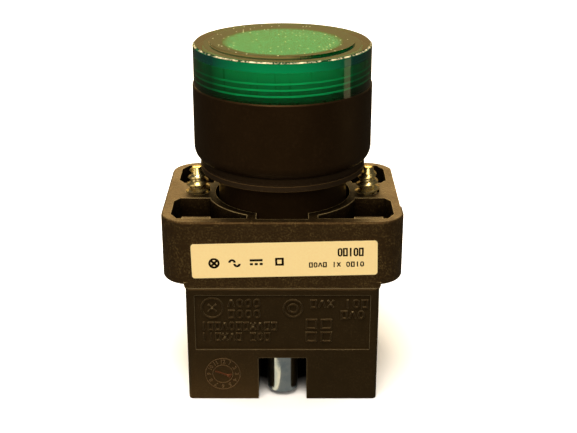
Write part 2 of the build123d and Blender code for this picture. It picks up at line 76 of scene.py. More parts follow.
class Axis(Enum):
    """Direction that a turned or drawn piece's tool marks cross."""

    X = (1.0, 0.0, 0.0)
    Z = (0.0, 0.0, 1.0)


class Mark(Enum):
    """Plain signs that are moulded or printed in rows."""

    RING = "o"
    BOX = "b"
    BAR = "i"
    CROSS = "x"
    CHEVRON = "v"
    GAP = " "


def linear(colour: str) -> tuple[float, float, float, float]:
    """Turn an sRGB hex colour to the linear values that sockets take.

    Args:
        colour: Six hex digits, with or without a leading #.

    Returns:
        Linear red, green, blue and an alpha of 1.
    """
    digits = colour.lstrip("#")
    values = [int(digits[i : i + 2], 16) / 255 for i in (0, 2, 4)]
    return (*((v / 12.92) if v <= 0.04045 else ((v + 0.055) / 1.055) ** 2.4 for v in values), 1.0)


def per_metre(size_mm: float) -> float:
    """Give the texture scale whose features are size_mm across on Object coordinates."""
    return 1.0 / (size_mm * MM)


def add_node(tree: NodeTree, kind: str, inputs: dict | None = None, **settings: object) -> Node:
    """Add a node with its settings, socket values and links.

    Args:
        tree: Node tree of a material or a world.
        kind: The node's class name in Blender, without ShaderNode before it.
        inputs: Socket name or index, with a value, an output socket, or a node whose first output
            feeds it.
        **settings: Attributes of the node, such as operation.

    Returns:
        The new node.
    """
    node = tree.nodes.new(f"ShaderNode{kind}")
    for name, value in settings.items():
        setattr(node, name, value)
    for socket, value in (inputs or {}).items():
        source = value.outputs[0] if isinstance(value, Node) else value
        if isinstance(source, NodeSocket):
            tree.links.new(source, node.inputs[socket])
        else:
            node.inputs[socket].default_value = source
    return node


@dataclass(frozen=True)
class Finish:
    """A finish that makes one material; each kind paints its own nodes."""

    name: str

    def build(self) -> Material:
        """Make the material, or give back the one made before."""
        known = bpy.data.materials.get(self.name)
        if known:
            return known
        material = bpy.data.materials.new(self.name)
        material.use_nodes = True
        tree = material.node_tree
        tree.nodes.clear()
        outlets = {"Surface": self.paint(tree)}
        inside = self.fill(tree)
        if inside:
            outlets["Volume"] = inside
        add_node(tree, "OutputMaterial", outlets)
        return material

    def paint(self, tree: NodeTree) -> Node:
        """Add the finish's nodes.

        Args:
            tree: The material's node tree.

        Returns:
            The shader node that the surface shows.
        """
        raise NotImplementedError

    def fill(self, tree: NodeTree) -> Node | None:
        """Give what the inside does to light, or nothing for an opaque piece."""
        return None

    def measures(self, tree: NodeTree) -> dict[str, NodeSocket]:
        """Measure a point on Object coordinates.

        Args:
            tree: The material's node tree.

        Returns:
            The point's Place, its Radius round Z, and its X, Y and Z.
        """
        place = add_node(tree, "TexCoord").outputs["Object"]
        flat = add_node(tree, "VectorMath", {0: place, 1: (1.0, 1.0, 0.0)}, operation="MULTIPLY")
        radius = add_node(tree, "VectorMath", {0: flat}, operation="LENGTH").outputs["Value"]
        parts = add_node(tree, "SeparateXYZ", {0: place}).outputs
        return {"Place": place, "Radius": radius, "X": parts["X"], "Y": parts["Y"], "Z": parts["Z"]}

    def zone(self, tree: NodeTree, radii: tuple[float, float], heights: tuple[float, float]) -> Node:
        """Mark a ring-shaped region round Z on Object coordinates.

        Args:
            tree: The material's node tree.
            radii: Inner and outer radius in millimetres.
            heights: Lowest and highest level in millimetres.

        Returns:
            A node that gives 1 inside the region and 0 outside it.
        """
        spot = self.measures(tree)
        tests = [
            add_node(
                tree, "Math", {0: value, 1: (low + high) / 2 * MM, 2: (high - low) / 2 * MM},
                operation="COMPARE",
            )
            for value, (low, high) in ((spot["Radius"], radii), (spot["Z"], heights))
        ]
        return add_node(tree, "Math", {0: tests[0], 1: tests[1]}, operation="MULTIPLY")

    def noise(
        self, tree: NodeTree, size: float, low: float, high: float,
        stretch: tuple[float, float, float] = (1.0, 1.0, 1.0), detail: float = 3.0,
    ) -> Node:
        """Give soft noise on Object coordinates, cut between two levels.

        Args:
            tree: The material's node tree.
            size: Width of the noise's features in millimetres.
            low: Noise level that gives 0.
            high: Noise level that gives 1.
            stretch: Scale of the coordinates along X, Y and Z.
            detail: Number of finer layers.

        Returns:
            A node that gives a value from 0 to 1.
        """
        place = add_node(tree, "TexCoord").outputs["Object"]
        drawn = add_node(tree, "Mapping", {"Vector": place, "Scale": stretch})
        texture = add_node(
            tree, "TexNoise",
            {"Vector": drawn, "Scale": per_metre(size), "Detail": detail, "Roughness": 0.55},
        )
        return add_node(tree, "MapRange", {"Value": texture, "From Min": low, "From Max": high})


@dataclass(frozen=True)
class MouldedPlastic(Finish):
    """Black engineering plastic as it leaves the mould.

    Glass fibres near the skin give flecks a little lighter than the ground, and the spark-eroded tool
    gives a fine grain. Convex edges get a painted highlight, which shows as lighter lines, and deep
    nooks get painted shade, dull and dark, where a painted shade level under 1 is given. A highlight
    band is a level line painted pale as a highlight.
    """

    ground: str
    fleck: str
    fleck_size: float
    grain_size: float
    grain_depth: float
    roughness: tuple[float, float]
    specular: float = 0.5
    # Colour and width of the painted highlight along convex edges
    edge: str = "#6b5534"
    highlight_width: float = 0.22
    gloss: str = "#ffc987"
    # Level of the painted shade in deep nooks; 1 paints none
    painted_shade_level: float = 1.0
    # Heights of a level band painted pale as a highlight
    highlight_band: tuple[float, float] = (-2.0, -1.0)
    # Reach and range of the ambient occlusion that places the painted shade
    shade_ao_reach: float = 8.0
    shade_ao_range: tuple[float, float] = (0.42, 0.82)
    # Range of inside ambient occlusion that places the painted edge highlight
    highlight_ao_range: tuple[float, float] = (0.72, 0.3)
    wear_size: float = 5.0

    def paint(self, tree: NodeTree) -> Node:
        """Mix fleck, mottle, painted nook shade and painted edge highlights into the colour, and grain
        into the surface.
        """
        fleck = self.noise(tree, self.fleck_size, 0.48, 0.66)
        mottle = self.noise(tree, 6.0 * self.fleck_size, 0.3, 0.7)
        share = add_node(tree, "Math", {0: fleck, 1: mottle}, operation="MULTIPLY")
        colours = {6: linear(self.ground), 7: linear(self.fleck)}
        ground = add_node(tree, "Mix", {"Factor": share} | colours, data_type="RGBA").outputs[2]
        # Painted shade: deep nooks, found by ambient occlusion, turn darker
        open_air = add_node(
            tree, "AmbientOcclusion", {"Color": ground, "Distance": self.shade_ao_reach * MM}, samples=8
        ).outputs["AO"]
        shade_ao_range = {"Value": open_air, "From Min": self.shade_ao_range[0], "From Max": self.shade_ao_range[1]}
        painted_shade = add_node(tree, "MapRange", shade_ao_range | {"To Min": self.painted_shade_level})
        ground = add_node(tree, "VectorMath", {0: ground, 1: painted_shade}, operation="MULTIPLY")
        # Painted highlight: convex edges, found by ambient occlusion inside, turn to the edge colour
        edge_highlight_ao = add_node(
            tree, "AmbientOcclusion", {"Distance": self.highlight_width * MM}, samples=8, inside=True
        ).outputs["AO"]
        line = add_node(
            tree, "MapRange",
            {"Value": edge_highlight_ao, "From Min": self.highlight_ao_range[0], "From Max": self.highlight_ao_range[1]},
        )
        # Painted highlight: a level band, given by heights, turns to the edge colour
        highlight_band = self.zone(tree, ANY_RADIUS, self.highlight_band)
        pale = add_node(tree, "Math", {0: line, 1: highlight_band}, operation="MAXIMUM")
        colour = add_node(
            tree, "Mix", {"Factor": pale, 6: ground, 7: linear(self.edge)}, data_type="RGBA"
        ).outputs[2]
        wear = self.noise(tree, self.wear_size, 0.3, 0.7)
        rough = add_node(
            tree, "MapRange",
            {"Value": wear, "To Min": self.roughness[0], "To Max": self.roughness[1]},
        )
        # Painted shade in the gloss too: deep nooks reflect less
        shaded_gloss_level = self.specular
        if self.painted_shade_level < 1.0:
            shine = {"To Min": self.painted_shade_level * self.specular, "To Max": self.specular}
            shaded_gloss_level = add_node(tree, "MapRange", shade_ao_range | shine)
        rounded = add_node(tree, "Bevel", {"Radius": 0.5 * self.highlight_width * MM}, samples=4)
        grain = self.noise(tree, self.grain_size, 0.3, 0.7)
        bump = add_node(
            tree, "Bump", {"Height": grain, "Distance": self.grain_depth * MM, "Normal": rounded}
        )
        return add_node(
            tree, "BsdfPrincipled",
            {
                "Base Color": colour, "Roughness": rough, "Normal": bump, "IOR": 1.5,
                "Specular IOR Level": shaded_gloss_level, "Specular Tint": linear(self.gloss),
            },
        )


@dataclass(frozen=True)
class PlatedMetal(Finish):
    """Steel or brass with a thin plated coat.

    Plating keeps the tool marks under it: fine rings on turned parts, drawn lines on sheet. Its colour
    drifts a little where the coat is thicker.
    """

    colour: str
    drift: str
    roughness: tuple[float, float]
    marks: Axis = Axis.Z
    mark_depth: float = 0.004

    def paint(self, tree: NodeTree) -> Node:
        """Draw the tool marks across the chosen axis and let the colour drift."""
        drift = self.noise(tree, 1.6, 0.35, 0.7)
        colours = {6: linear(self.colour), 7: linear(self.drift)}
        colour = add_node(tree, "Mix", {"Factor": drift} | colours, data_type="RGBA").outputs[2]
        stretch = tuple(6.0 if part else 0.5 for part in self.marks.value)
        lines = self.noise(tree, 0.5, 0.25, 0.75, stretch, detail=4.0)
        rough = add_node(
            tree, "MapRange",
            {"Value": lines, "To Min": self.roughness[0], "To Max": self.roughness[1]},
        )
        bump = add_node(tree, "Bump", {"Height": lines, "Distance": self.mark_depth * MM})
        return add_node(
            tree, "BsdfPrincipled",
            {"Base Color": colour, "Metallic": 1.0, "Roughness": rough, "Normal": bump},
        )


@dataclass(frozen=True)
class ClearLens(Finish):
    """Green acrylic, injection moulded: polished outside, frosted in its bore.

    The polished skin mirrors the room and the dyed body darkens long ways through it. The frosted
    bore glows green behind the side wall, deeper towards its foot. A band of the side wall below the
    rim is a painted glow of opaque green, and the ceiling beside the diffuser is painted dark as shade.
    A highlight is painted pale along the outer edge, and in a dust colour on the left of the crown's
    step, which faces the light; dust lies on the crown.
    """

    body: str
    steep: str
    bore: str
    deep: str
    # Colour of the painted glow in the band below the rim
    glow: str
    dye: str
    shadow: str
    # Colour of the highlight painted along the outer edge
    rim_highlight: str
    # Dust colour of the highlight painted on the step's left side
    step_highlight: str
    grains: str
    foot: float
    ceiling: float
    rim: float
    crown: float
    seat_radius: float
    bore_radius: float
    step_radius: float
    outer_radius: float
    density: float = 250.0
    skin: float = 0.1
    edge: float = 0.3
    sliver: float = 0.02
    dust_size: float = 0.6
    # Where across X the step's painted highlight fades out, and where it is full
    step_highlight_end: float = 5.0
    step_highlight_start: float = 1.0
    dusty_radius: float = 12.0
    steepness: tuple[float, float] = (0.05, 0.42)
    # Share and depth of the painted glow in the band below the rim
    glow_share: float = 0.85
    glow_band: float = 0.25
    frost_below: float = 1.0
    deep_to: float = 0.6
    # Depths below the rim of the painted highlight's band
    rim_highlight_band: tuple[float, float] = (0.24, 0.04)
    ripple_depth: float = 0.03

    def paint(self, tree: NodeTree) -> Node:
        """Lay painted glow, frost, painted shade, painted highlights and dust over the polished skin,
        where each lies.
        """
        skin, outer = self.skin, (self.outer_radius - self.skin, self.outer_radius + self.skin)
        wall = self.zone(tree, outer, (self.foot, self.rim - self.edge))
        # Painted glow: a band of the side wall below the rim turns mostly opaque green, standing in for
        # light that the rim's plastic carries
        band = self.zone(tree, outer, (self.ceiling - self.glow_band, self.rim - self.edge))
        inside = (0.0, self.bore_radius + skin)
        bore = self.zone(tree, inside, (self.foot - self.frost_below, self.ceiling - skin))
        beside = (self.seat_radius, self.bore_radius + skin)
        ceiling = self.zone(tree, beside, (self.ceiling - skin, self.ceiling + skin))
        grazing = add_node(tree, "LayerWeight", {"Blend": 0.5}).outputs["Facing"]
        longer = add_node(
            tree, "MapRange",
            {"Value": grazing, "From Min": self.steepness[0], "From Max": self.steepness[1]},
        )
        depth = add_node(tree, "Math", {0: wall, 1: longer}, operation="MULTIPLY")
        glowing = add_node(tree, "Math", {0: band, 1: self.glow_share}, operation="MULTIPLY")
        clear, glow_colour = (
            add_node(
                tree, "Mix", {"Factor": share, 6: linear(colour), 7: linear(self.steep)},
                data_type="RGBA",
            ).outputs[2]
            for share, colour in ((depth, self.body), (longer, self.glow))
        )
        ripple = self.noise(tree, 4.0, 0.2, 0.8, detail=1.0)
        bump = add_node(
            tree, "Bump", {"Height": ripple, "Distance": self.ripple_depth * MM, "Strength": wall}
        )
        shown = add_node(
            tree, "BsdfPrincipled",
            {
                "Base Color": clear, "Roughness": 0.03, "IOR": 1.49, "Transmission Weight": 1.0,
                "Normal": bump,
            },
        )
        painted_glow = add_node(tree, "BsdfPrincipled", {"Base Color": glow_colour, "Roughness": 0.05})
        shade, painted_rim_highlight, grain, step_highlight = (
            add_node(tree, "BsdfPrincipled", {"Base Color": linear(colour), "Roughness": rough})
            for colour, rough in (
                (self.shadow, 0.6), (self.rim_highlight, 0.6), (self.grains, 0.6), (self.step_highlight, 0.9)
            )
        )
        # Light for what lies inside comes straight through, tinted, where a render traces shadows
        shadow_ray = add_node(tree, "LightPath").outputs["Is Shadow Ray"]
        tinted = add_node(tree, "BsdfTransparent", {"Color": linear(self.body)})
        for share, layer in (
            (glowing, painted_glow), (bore, self.frost(tree)), (ceiling, shade), (self.rim_highlight_mask(tree), painted_rim_highlight),
            (self.specks(tree), grain), (self.drift(tree), step_highlight), (shadow_ray, tinted),
        ):
            shown = add_node(tree, "MixShader", {0: share, 1: shown, 2: layer})
        return shown

    def fill(self, tree: NodeTree) -> Node:
        """Give the dye, which takes more light the further it goes."""
        return add_node(
            tree, "VolumeAbsorption", {"Color": linear(self.dye), "Density": self.density}
        )

    def frost(self, tree: NodeTree) -> Node:
        """Give the bore's frost, deeper towards its foot, with a few drawn lines."""
        height = self.measures(tree)["Z"]
        start = (self.foot + self.deep_to) * MM
        rise = add_node(
            tree, "MapRange", {"Value": height, "From Min": start, "From Max": self.ceiling * MM}
        )
        colours = {6: linear(self.deep), 7: linear(self.bore)}
        colour = add_node(tree, "Mix", {"Factor": rise} | colours, data_type="RGBA").outputs[2]
        streak = self.noise(tree, 0.7, 0.6, 0.72, (1.0, 1.0, 0.06), detail=1.0)
        faint = add_node(tree, "Math", {0: streak, 1: 0.5}, operation="MULTIPLY")
        lined = add_node(
            tree, "Mix", {"Factor": faint, 6: colour, 7: linear(self.deep)}, data_type="RGBA"
        ).outputs[2]
        return add_node(
            tree, "BsdfPrincipled", {"Base Color": lined, "Roughness": 0.5, "Specular IOR Level": 0.2}
        )

    def rim_highlight_mask(self, tree: NodeTree) -> Node:
        """Mark where a highlight is painted pale along the outer edge, in uneven stretches."""
        radii = (self.outer_radius - self.edge, self.outer_radius + self.skin)
        low, high = (self.rim - drop for drop in self.rim_highlight_band)
        edge = self.zone(tree, radii, (low, high))
        uneven = self.noise(tree, 0.8, 0.4, 0.62, detail=4.0)
        return add_node(tree, "Math", {0: edge, 1: uneven}, operation="MULTIPLY")

    def specks(self, tree: NodeTree) -> Node:
        """Mark grains of dust on the crown."""
        place = self.measures(tree)["Place"]
        cells = add_node(tree, "TexVoronoi", {"Vector": place, "Scale": per_metre(self.dust_size)})
        chosen = add_node(tree, "SeparateColor", {0: cells.outputs["Color"]})
        small = add_node(
            tree, "Math", {0: cells.outputs["Distance"], 1: 0.2}, operation="LESS_THAN"
        )
        few = add_node(tree, "Math", {0: chosen, 1: 0.8}, operation="GREATER_THAN")
        some = add_node(tree, "Math", {0: small, 1: few}, operation="MULTIPLY")
        top = self.zone(
            tree, (0.0, self.dusty_radius), (self.crown - self.sliver, self.crown + self.sliver)
        )
        return add_node(tree, "Math", {0: some, 1: top}, operation="MULTIPLY")

    def drift(self, tree: NodeTree) -> Node:
        """Mark the crown step's left side, which faces the light, where a highlight is painted in a dust
        colour.
        """
        radii = (self.step_radius - self.skin, self.step_radius + self.skin)
        step = self.zone(tree, radii, (self.rim - self.sliver, self.crown - self.sliver))
        across = self.measures(tree)["X"]
        left = add_node(
            tree, "MapRange",
            {"Value": across, "From Min": self.step_highlight_end * MM, "From Max": self.step_highlight_start * MM},
        )
        return add_node(tree, "Math", {0: step, 1: left}, operation="MULTIPLY")


@dataclass(frozen=True)
class FrostedPlastic(Finish):
    """Milky acrylic with a blasted skin, which spreads the lamp's light and looks powdery.

    It turns dark towards its rim.
    """

    colour: str
    shade: str
    rim: str
    rim_radius: float
    fade: float = 0.9

    def paint(self, tree: NodeTree) -> Node:
        """Give a soft, slightly uneven white with a dark rim."""
        cloud = self.noise(tree, 0.28, 0.35, 0.65, detail=2.0)
        colours = {6: linear(self.colour), 7: linear(self.shade)}
        face = add_node(tree, "Mix", {"Factor": cloud} | colours, data_type="RGBA").outputs[2]
        radius = self.measures(tree)["Radius"]
        fade_from = (self.rim_radius - self.fade) * MM
        outside = add_node(
            tree, "MapRange",
            {"Value": radius, "From Min": fade_from, "From Max": self.rim_radius * MM},
        )
        colour = add_node(
            tree, "Mix", {"Factor": outside, 6: face, 7: linear(self.rim)}, data_type="RGBA"
        ).outputs[2]
        grit = self.noise(tree, 0.25, 0.3, 0.7)
        bump = add_node(tree, "Bump", {"Height": grit, "Distance": 0.02 * MM})
        return add_node(
            tree, "BsdfPrincipled", {"Base Color": colour, "Roughness": 0.55, "Normal": bump}
        )


@dataclass(frozen=True)
class SmoothGlass(Finish):
    """Blown glass or polished plastic, clear or opaque, with a smooth skin and faint draw lines."""

    colour: str
    transmission: float

    def paint(self, tree: NodeTree) -> Node:
        """Give a smooth skin with faint draw lines round its axis."""
        lines = self.noise(tree, 2.5, 0.2, 0.8, (1.0, 1.0, 0.3), detail=1.0)
        bump = add_node(tree, "Bump", {"Height": lines, "Distance": 0.02 * MM})
        return add_node(
            tree, "BsdfPrincipled",
            {
                "Base Color": linear(self.colour), "Roughness": 0.02, "IOR": 1.52,
                "Transmission Weight": self.transmission, "Normal": bump,
            },
        )


@dataclass(frozen=True)
class StickerPaper(Finish):
    """Satin paper sticker, warm cream, with faint fibres."""

    colour: str
    fibre: str

    def paint(self, tree: NodeTree) -> Node:
        """Give paper with faint fibres."""
        fibres = self.noise(tree, 0.35, 0.4, 0.8)
        colours = {6: linear(self.colour), 7: linear(self.fibre)}
        colour = add_node(tree, "Mix", {"Factor": fibres} | colours, data_type="RGBA").outputs[2]
        bump = add_node(tree, "Bump", {"Height": fibres, "Distance": 0.006 * MM})
        return add_node(
            tree, "BsdfPrincipled", {"Base Color": colour, "Roughness": 0.5, "Normal": bump}
        )


# Satin skin with broad soft highlights and hardly any fleck
HEAD_PLASTIC = MouldedPlastic(
    "satin polyamide head", "#150d06", "#1d140b", 0.5, 0.3, 0.006, (0.42, 0.52), specular=0.27
)
# Pale fibre flecks, a dull grain and painted highlights on the edges, with pockets left near-black by
# painted shade
BASE_PLASTIC = MouldedPlastic(
    "glass-filled polyamide base", "#1c140a", "#51442a", 0.32, 0.35, 0.04, (0.5, 0.62), specular=0.5,
    edge="#d0ba8a", highlight_width=0.26, painted_shade_level=0.1,
)
# Finer flecks, and a level band painted pale as a highlight along the block's top edge
BLOCK_PLASTIC = MouldedPlastic(
    "glass-filled polyester block", "#1c160c", "#2c2417", 0.3, 0.3, 0.015, (0.45, 0.6), specular=0.32,
    edge="#8f8368", highlight_width=0.2, highlight_band=(20.84, 21.0),
)
# Strokes with painted highlights on their edges, which read as lighter lines; the arrow's insert is
# redder
MARK_PLASTIC, DIAL_PLASTIC, ARROW_PLASTIC = (
    MouldedPlastic(
        name, ground, fleck, 0.3, 0.3, 0.01, (0.4, 0.5), specular=0.5, edge=edge, highlight_width=width
    )
    for name, ground, fleck, edge, width in (
        ("polyester marks", "#1c160c", "#2c2417", "#8c7d60", 0.1),
        ("polyester date insert", "#1c160c", "#2c2417", "#94795a", 0.08),
        ("polyester date arrow", "#33170e", "#412014", "#6b3a2a", 0.08),
    )
)
# Matt black with a soft sheen
GASKET_RUBBER = MouldedPlastic(
    "moulded nitrile rubber", "#16120f", "#221d18", 0.4, 0.2, 0.01, (0.6, 0.75), specular=0.4
)
# Brown, mottled by its paper
SOCKET_BOARD = MouldedPlastic(
    "laminated paper insulator", "#4a2c18", "#6b4426", 0.4, 0.2, 0.01, (0.4, 0.6)
)
# Flat black with no lighter edge
PRINT_INK = MouldedPlastic(
    "black print ink", "#050403", "#0a0806", 0.4, 0.1, 0.002, (0.5, 0.6), specular=0.2, edge="#050403"
)
# Bottle green: deep where looked through at a slant, with a painted glow below its rim and a painted
# highlight along it
LENS_GREEN = ClearLens(
    "moulded green acrylic", body="#26ccab", steep="#073f3c", bore="#649f72", deep="#264c32",
    glow="#008a54", dye="#a9d8b8", shadow="#08130c", rim_highlight="#f6efcc", step_highlight="#75683c",
    grains="#d6edb4", foot=52.2, ceiling=57.5, rim=58.9, crown=59.2, seat_radius=10.15,
    bore_radius=13.1, step_radius=12.05, outer_radius=14.8,
)
# Solid green painted light, a painted stand-in for the glints on the thread, so that it shows as lines
# through the side wall
LENS_RIDGE_PAINTED_GLINT = SmoothGlass("green thread painted for glints", "#34ac72", 0.0)
# Powdery bluish white, which the green lens turns to a pale green disc
DIFFUSER_WHITE = FrostedPlastic("blasted opal acrylic", "#ccf3ff", "#b6dadc", "#39502f", rim_radius=9.9)
# Colourless and clear, and a glossy black foot
LAMP_GLASS = SmoothGlass("blown lamp glass", "#f2f6f2", 1.0)
FOOT_GLASS = SmoothGlass("pressed black glass", "#0b0b0e", 0.0)
# Bright coats over turned steel, one warm, one bluish and one plain
YELLOW_ZINC = PlatedMetal("yellow passivated zinc", "#ead9a0", "#cfba7a", (0.2, 0.34))
BLUE_ZINC = PlatedMetal("blue passivated zinc", "#dfeaf4", "#b4c8dc", (0.1, 0.2))
BRIGHT_ZINC = PlatedMetal("bright zinc on turned steel", "#c3c8cc", "#a9b0b6", (0.16, 0.3))
# Duller metals: lined yellow sheet, warm grey contacts, grey wire and a soft grey blob
SHEET_BRASS = PlatedMetal("blanked brass sheet", "#c9a24e", "#b08a3c", (0.25, 0.4), Axis.X)
NICKEL = PlatedMetal("nickel on drawn brass", "#bdb6a8", "#a8a193", (0.18, 0.3))
SPRING_WIRE = PlatedMetal("drawn spring steel", "#8d9094", "#77797c", (0.25, 0.4))
SOLDER = PlatedMetal("soft solder", "#b4b6b5", "#9a9c9b", (0.3, 0.5))
# Warm cream with a satin skin
LABEL_PAPER = StickerPaper("satin sticker paper", "#ffeab2", "#fde4a8")


@dataclass
class Workshop:
    """Turns bmeshes to finished pieces that ride on the frame's bodies."""

    nodes: dict
    made: list = field(default_factory=list)

    def piece(
        self, shape: BMesh, name: str, finish: Finish, body: str, slot: str, sharp_angle: float = 35.0
    ) -> Object:
        """Make an object from a bmesh in millimetres, dress it and let it ride.

        Args:
            shape: The bmesh, which is freed here.
            name: Name of the new piece.
            finish: Its finish.
            body: Body that it moves with.
            slot: A material slot's name; not used.
            sharp_angle: Edges that turn more than this many degrees stay sharp.

        Returns:
            The new object, at the origin.
        """
        bmesh.ops.remove_doubles(shape, verts=shape.verts, dist=NEAR)
        bmesh.ops.recalc_face_normals(shape, faces=shape.faces)
        bmesh.ops.scale(shape, vec=(MM, MM, MM), verts=shape.verts)
        for face in shape.faces:
            face.smooth = True
        mesh = bpy.data.meshes.new(name)
        shape.to_mesh(mesh)
        shape.free()
        mesh.set_sharp_from_angle(angle=math.radians(sharp_angle))
        mesh.materials.append(finish.build())
        thing = bpy.data.objects.new(name, mesh)
        bpy.context.scene.collection.objects.link(thing)
        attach(thing, body)
        self.made.append(name)
        log.info("%s: %d faces on %s", name, len(mesh.polygons), body)
        return thing

    def dress(self, finish: Finish, *names: str) -> None:
        """Give CAD nodes a finish.

        Args:
            finish: The finish.
            *names: Nodes that get it.
        """
        for name in names:
            for slot in self.nodes[name].material_slots:
                slot.material = finish.build()
            log.info("%s: %s", name, finish.name)

    def corners(self, name: str) -> tuple[Vector, Vector]:
        """Give a node's lowest and highest corners in millimetres."""
        low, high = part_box(name)
        return Vector(low) / MM, Vector(high) / MM


def lathe(shape: BMesh, profile: list[tuple[float, float]], steps: int = 64) -> None:
    """Spin an open profile of radii and heights round Z.

    Args:
        shape: Bmesh that gets the turned skin.
        profile: Points of radius and height, from axis to axis for a closed solid.
        steps: Segments in a full turn.
    """
    points = [shape.verts.new((radius, 0.0, height)) for radius, height in profile]
    edges = [shape.edges.new(pair) for pair in zip(points, points[1:])]
    bmesh.ops.spin(
        shape, geom=points + edges, cent=(0, 0, 0), axis=(0, 0, 1), angle=math.tau, steps=steps,
        use_merge=True,
    )
    bmesh.ops.remove_doubles(shape, verts=shape.verts, dist=1e-5)


def helix_ridge(
    shape: BMesh, root: float, crest: float, half_root: float, half_crest: float, pitch: float,
    turns: float, foot: float, steps: int = 64,
) -> list[BMVert]:
    """Spin a thread's section up a helix and close its ends.

    Args:
        shape: Bmesh that gets the ridge.
        root: Radius where the ridge stands on its core.
        crest: Radius of its edge.
        half_root: Half its height at the root.
        half_crest: Half its height at the crest.
        pitch: Rise in one turn.
        turns: Number of turns.
        foot: Height of the first section's middle.
        steps: Segments in a turn.

    Returns:
        The ridge's vertices.
    """
    before = set(shape.verts)
    section = [
        shape.verts.new((radius, 0.0, foot + rise))
        for radius, rise in (
            (root, -half_root), (crest, -half_crest), (crest, half_crest), (root, half_root)
        )
    ]
    loop = [shape.edges.new((section[i], section[(i + 1) % 4])) for i in range(4)]
    count = round(turns * steps)
    bmesh.ops.spin(
        shape, geom=section + loop, cent=(0, 0, 0), axis=(0, 0, 1), dvec=(0, 0, pitch / steps),
        angle=math.tau * count / steps, steps=count,
    )
    added = [vert for vert in shape.verts if vert not in before]
    open_edges = [edge for edge in shape.edges if edge.is_boundary and edge.verts[0] not in before]
    bmesh.ops.holes_fill(shape, edges=open_edges, sides=4)
    return added


def ridge_bar(
    shape: BMesh, place: Matrix, centre: tuple[float, float], length: float,
    width: float, height: float, angle: float = 0.0, draft: float = 0.5,
) -> None:
    """Add a straight raised stroke whose sides slope like a moulding's.

    Args:
        shape: Bmesh that gets the stroke.
        place: Frame of the face that carries it.
        centre: Its middle on that face.
        length: Its length.
        width: Its width at the foot.
        height: How far it stands up.
        angle: Its turn on the face in degrees.
        draft: Share of the width that is left at the top.
    """
    matrix = (
        place
        @ Matrix.Translation((*centre, height / 2))
        @ Matrix.Rotation(math.radians(angle), 4, "Z")
        @ Matrix.Diagonal((length, width, height, 1.0))
    )
    verts = bmesh.ops.create_cube(shape, size=1.0)["verts"]
    for vert in verts:
        if vert.co.z > 0:
            vert.co.y *= draft
            vert.co.x *= 1 - width * (1 - draft) / length
    bmesh.ops.transform(shape, matrix=matrix, verts=verts)


def ridge_ring(
    shape: BMesh, place: Matrix, centre: tuple[float, float], radius: float,
    width: float, height: float, sweep: float = 360.0, start: float = 0.0, steps: int = 28,
) -> None:
    """Add a raised ring or arc with sloping sides.

    Args:
        shape: Bmesh that gets the ring.
        place: Frame of the face that carries it.
        centre: Its middle on that face.
        radius: Radius of its middle line.
        width: Its width at the foot.
        height: How far it stands up.
        sweep: Angle that it covers in degrees.
        start: Angle where it starts.
        steps: Straight stretches in a full turn; 4 give a square frame with mitred corners.
    """
    section = [
        shape.verts.new((radius + side * width / 2 * share, 0.0, rise))
        for side, share, rise in ((-1, 1, 0.0), (-1, 0.5, height), (1, 0.5, height), (1, 1, 0.0))
    ]
    before = set(shape.verts) - set(section)
    loop = [shape.edges.new((section[i], section[(i + 1) % 4])) for i in range(4)]
    full = sweep >= 360.0
    bmesh.ops.spin(
        shape, geom=section + loop, cent=(0, 0, 0), axis=(0, 0, 1), angle=math.radians(sweep),
        steps=round(steps * sweep / 360), use_merge=full,
    )
    added = [vert for vert in shape.verts if vert not in before]
    if not full:
        open_edges = [edge for edge in shape.edges if edge.is_boundary and edge.verts[0] in set(added)]
        bmesh.ops.holes_fill(shape, edges=open_edges, sides=4)
    turn = Matrix.Rotation(math.radians(start), 4, "Z")
    bmesh.ops.transform(shape, matrix=place @ Matrix.Translation((*centre, 0)) @ turn, verts=added)


def front_face(x: float, y: float, z: float, tilt: float = 0.0) -> Matrix:
    """Give a frame on a face that looks along -Y, with its own X to the right and its Y upwards."""
    turned = Matrix.Rotation(math.radians(90), 4, "X") @ Matrix.Rotation(math.radians(tilt), 4, "Z")
    return Matrix.Translation((x, y, z)) @ turned


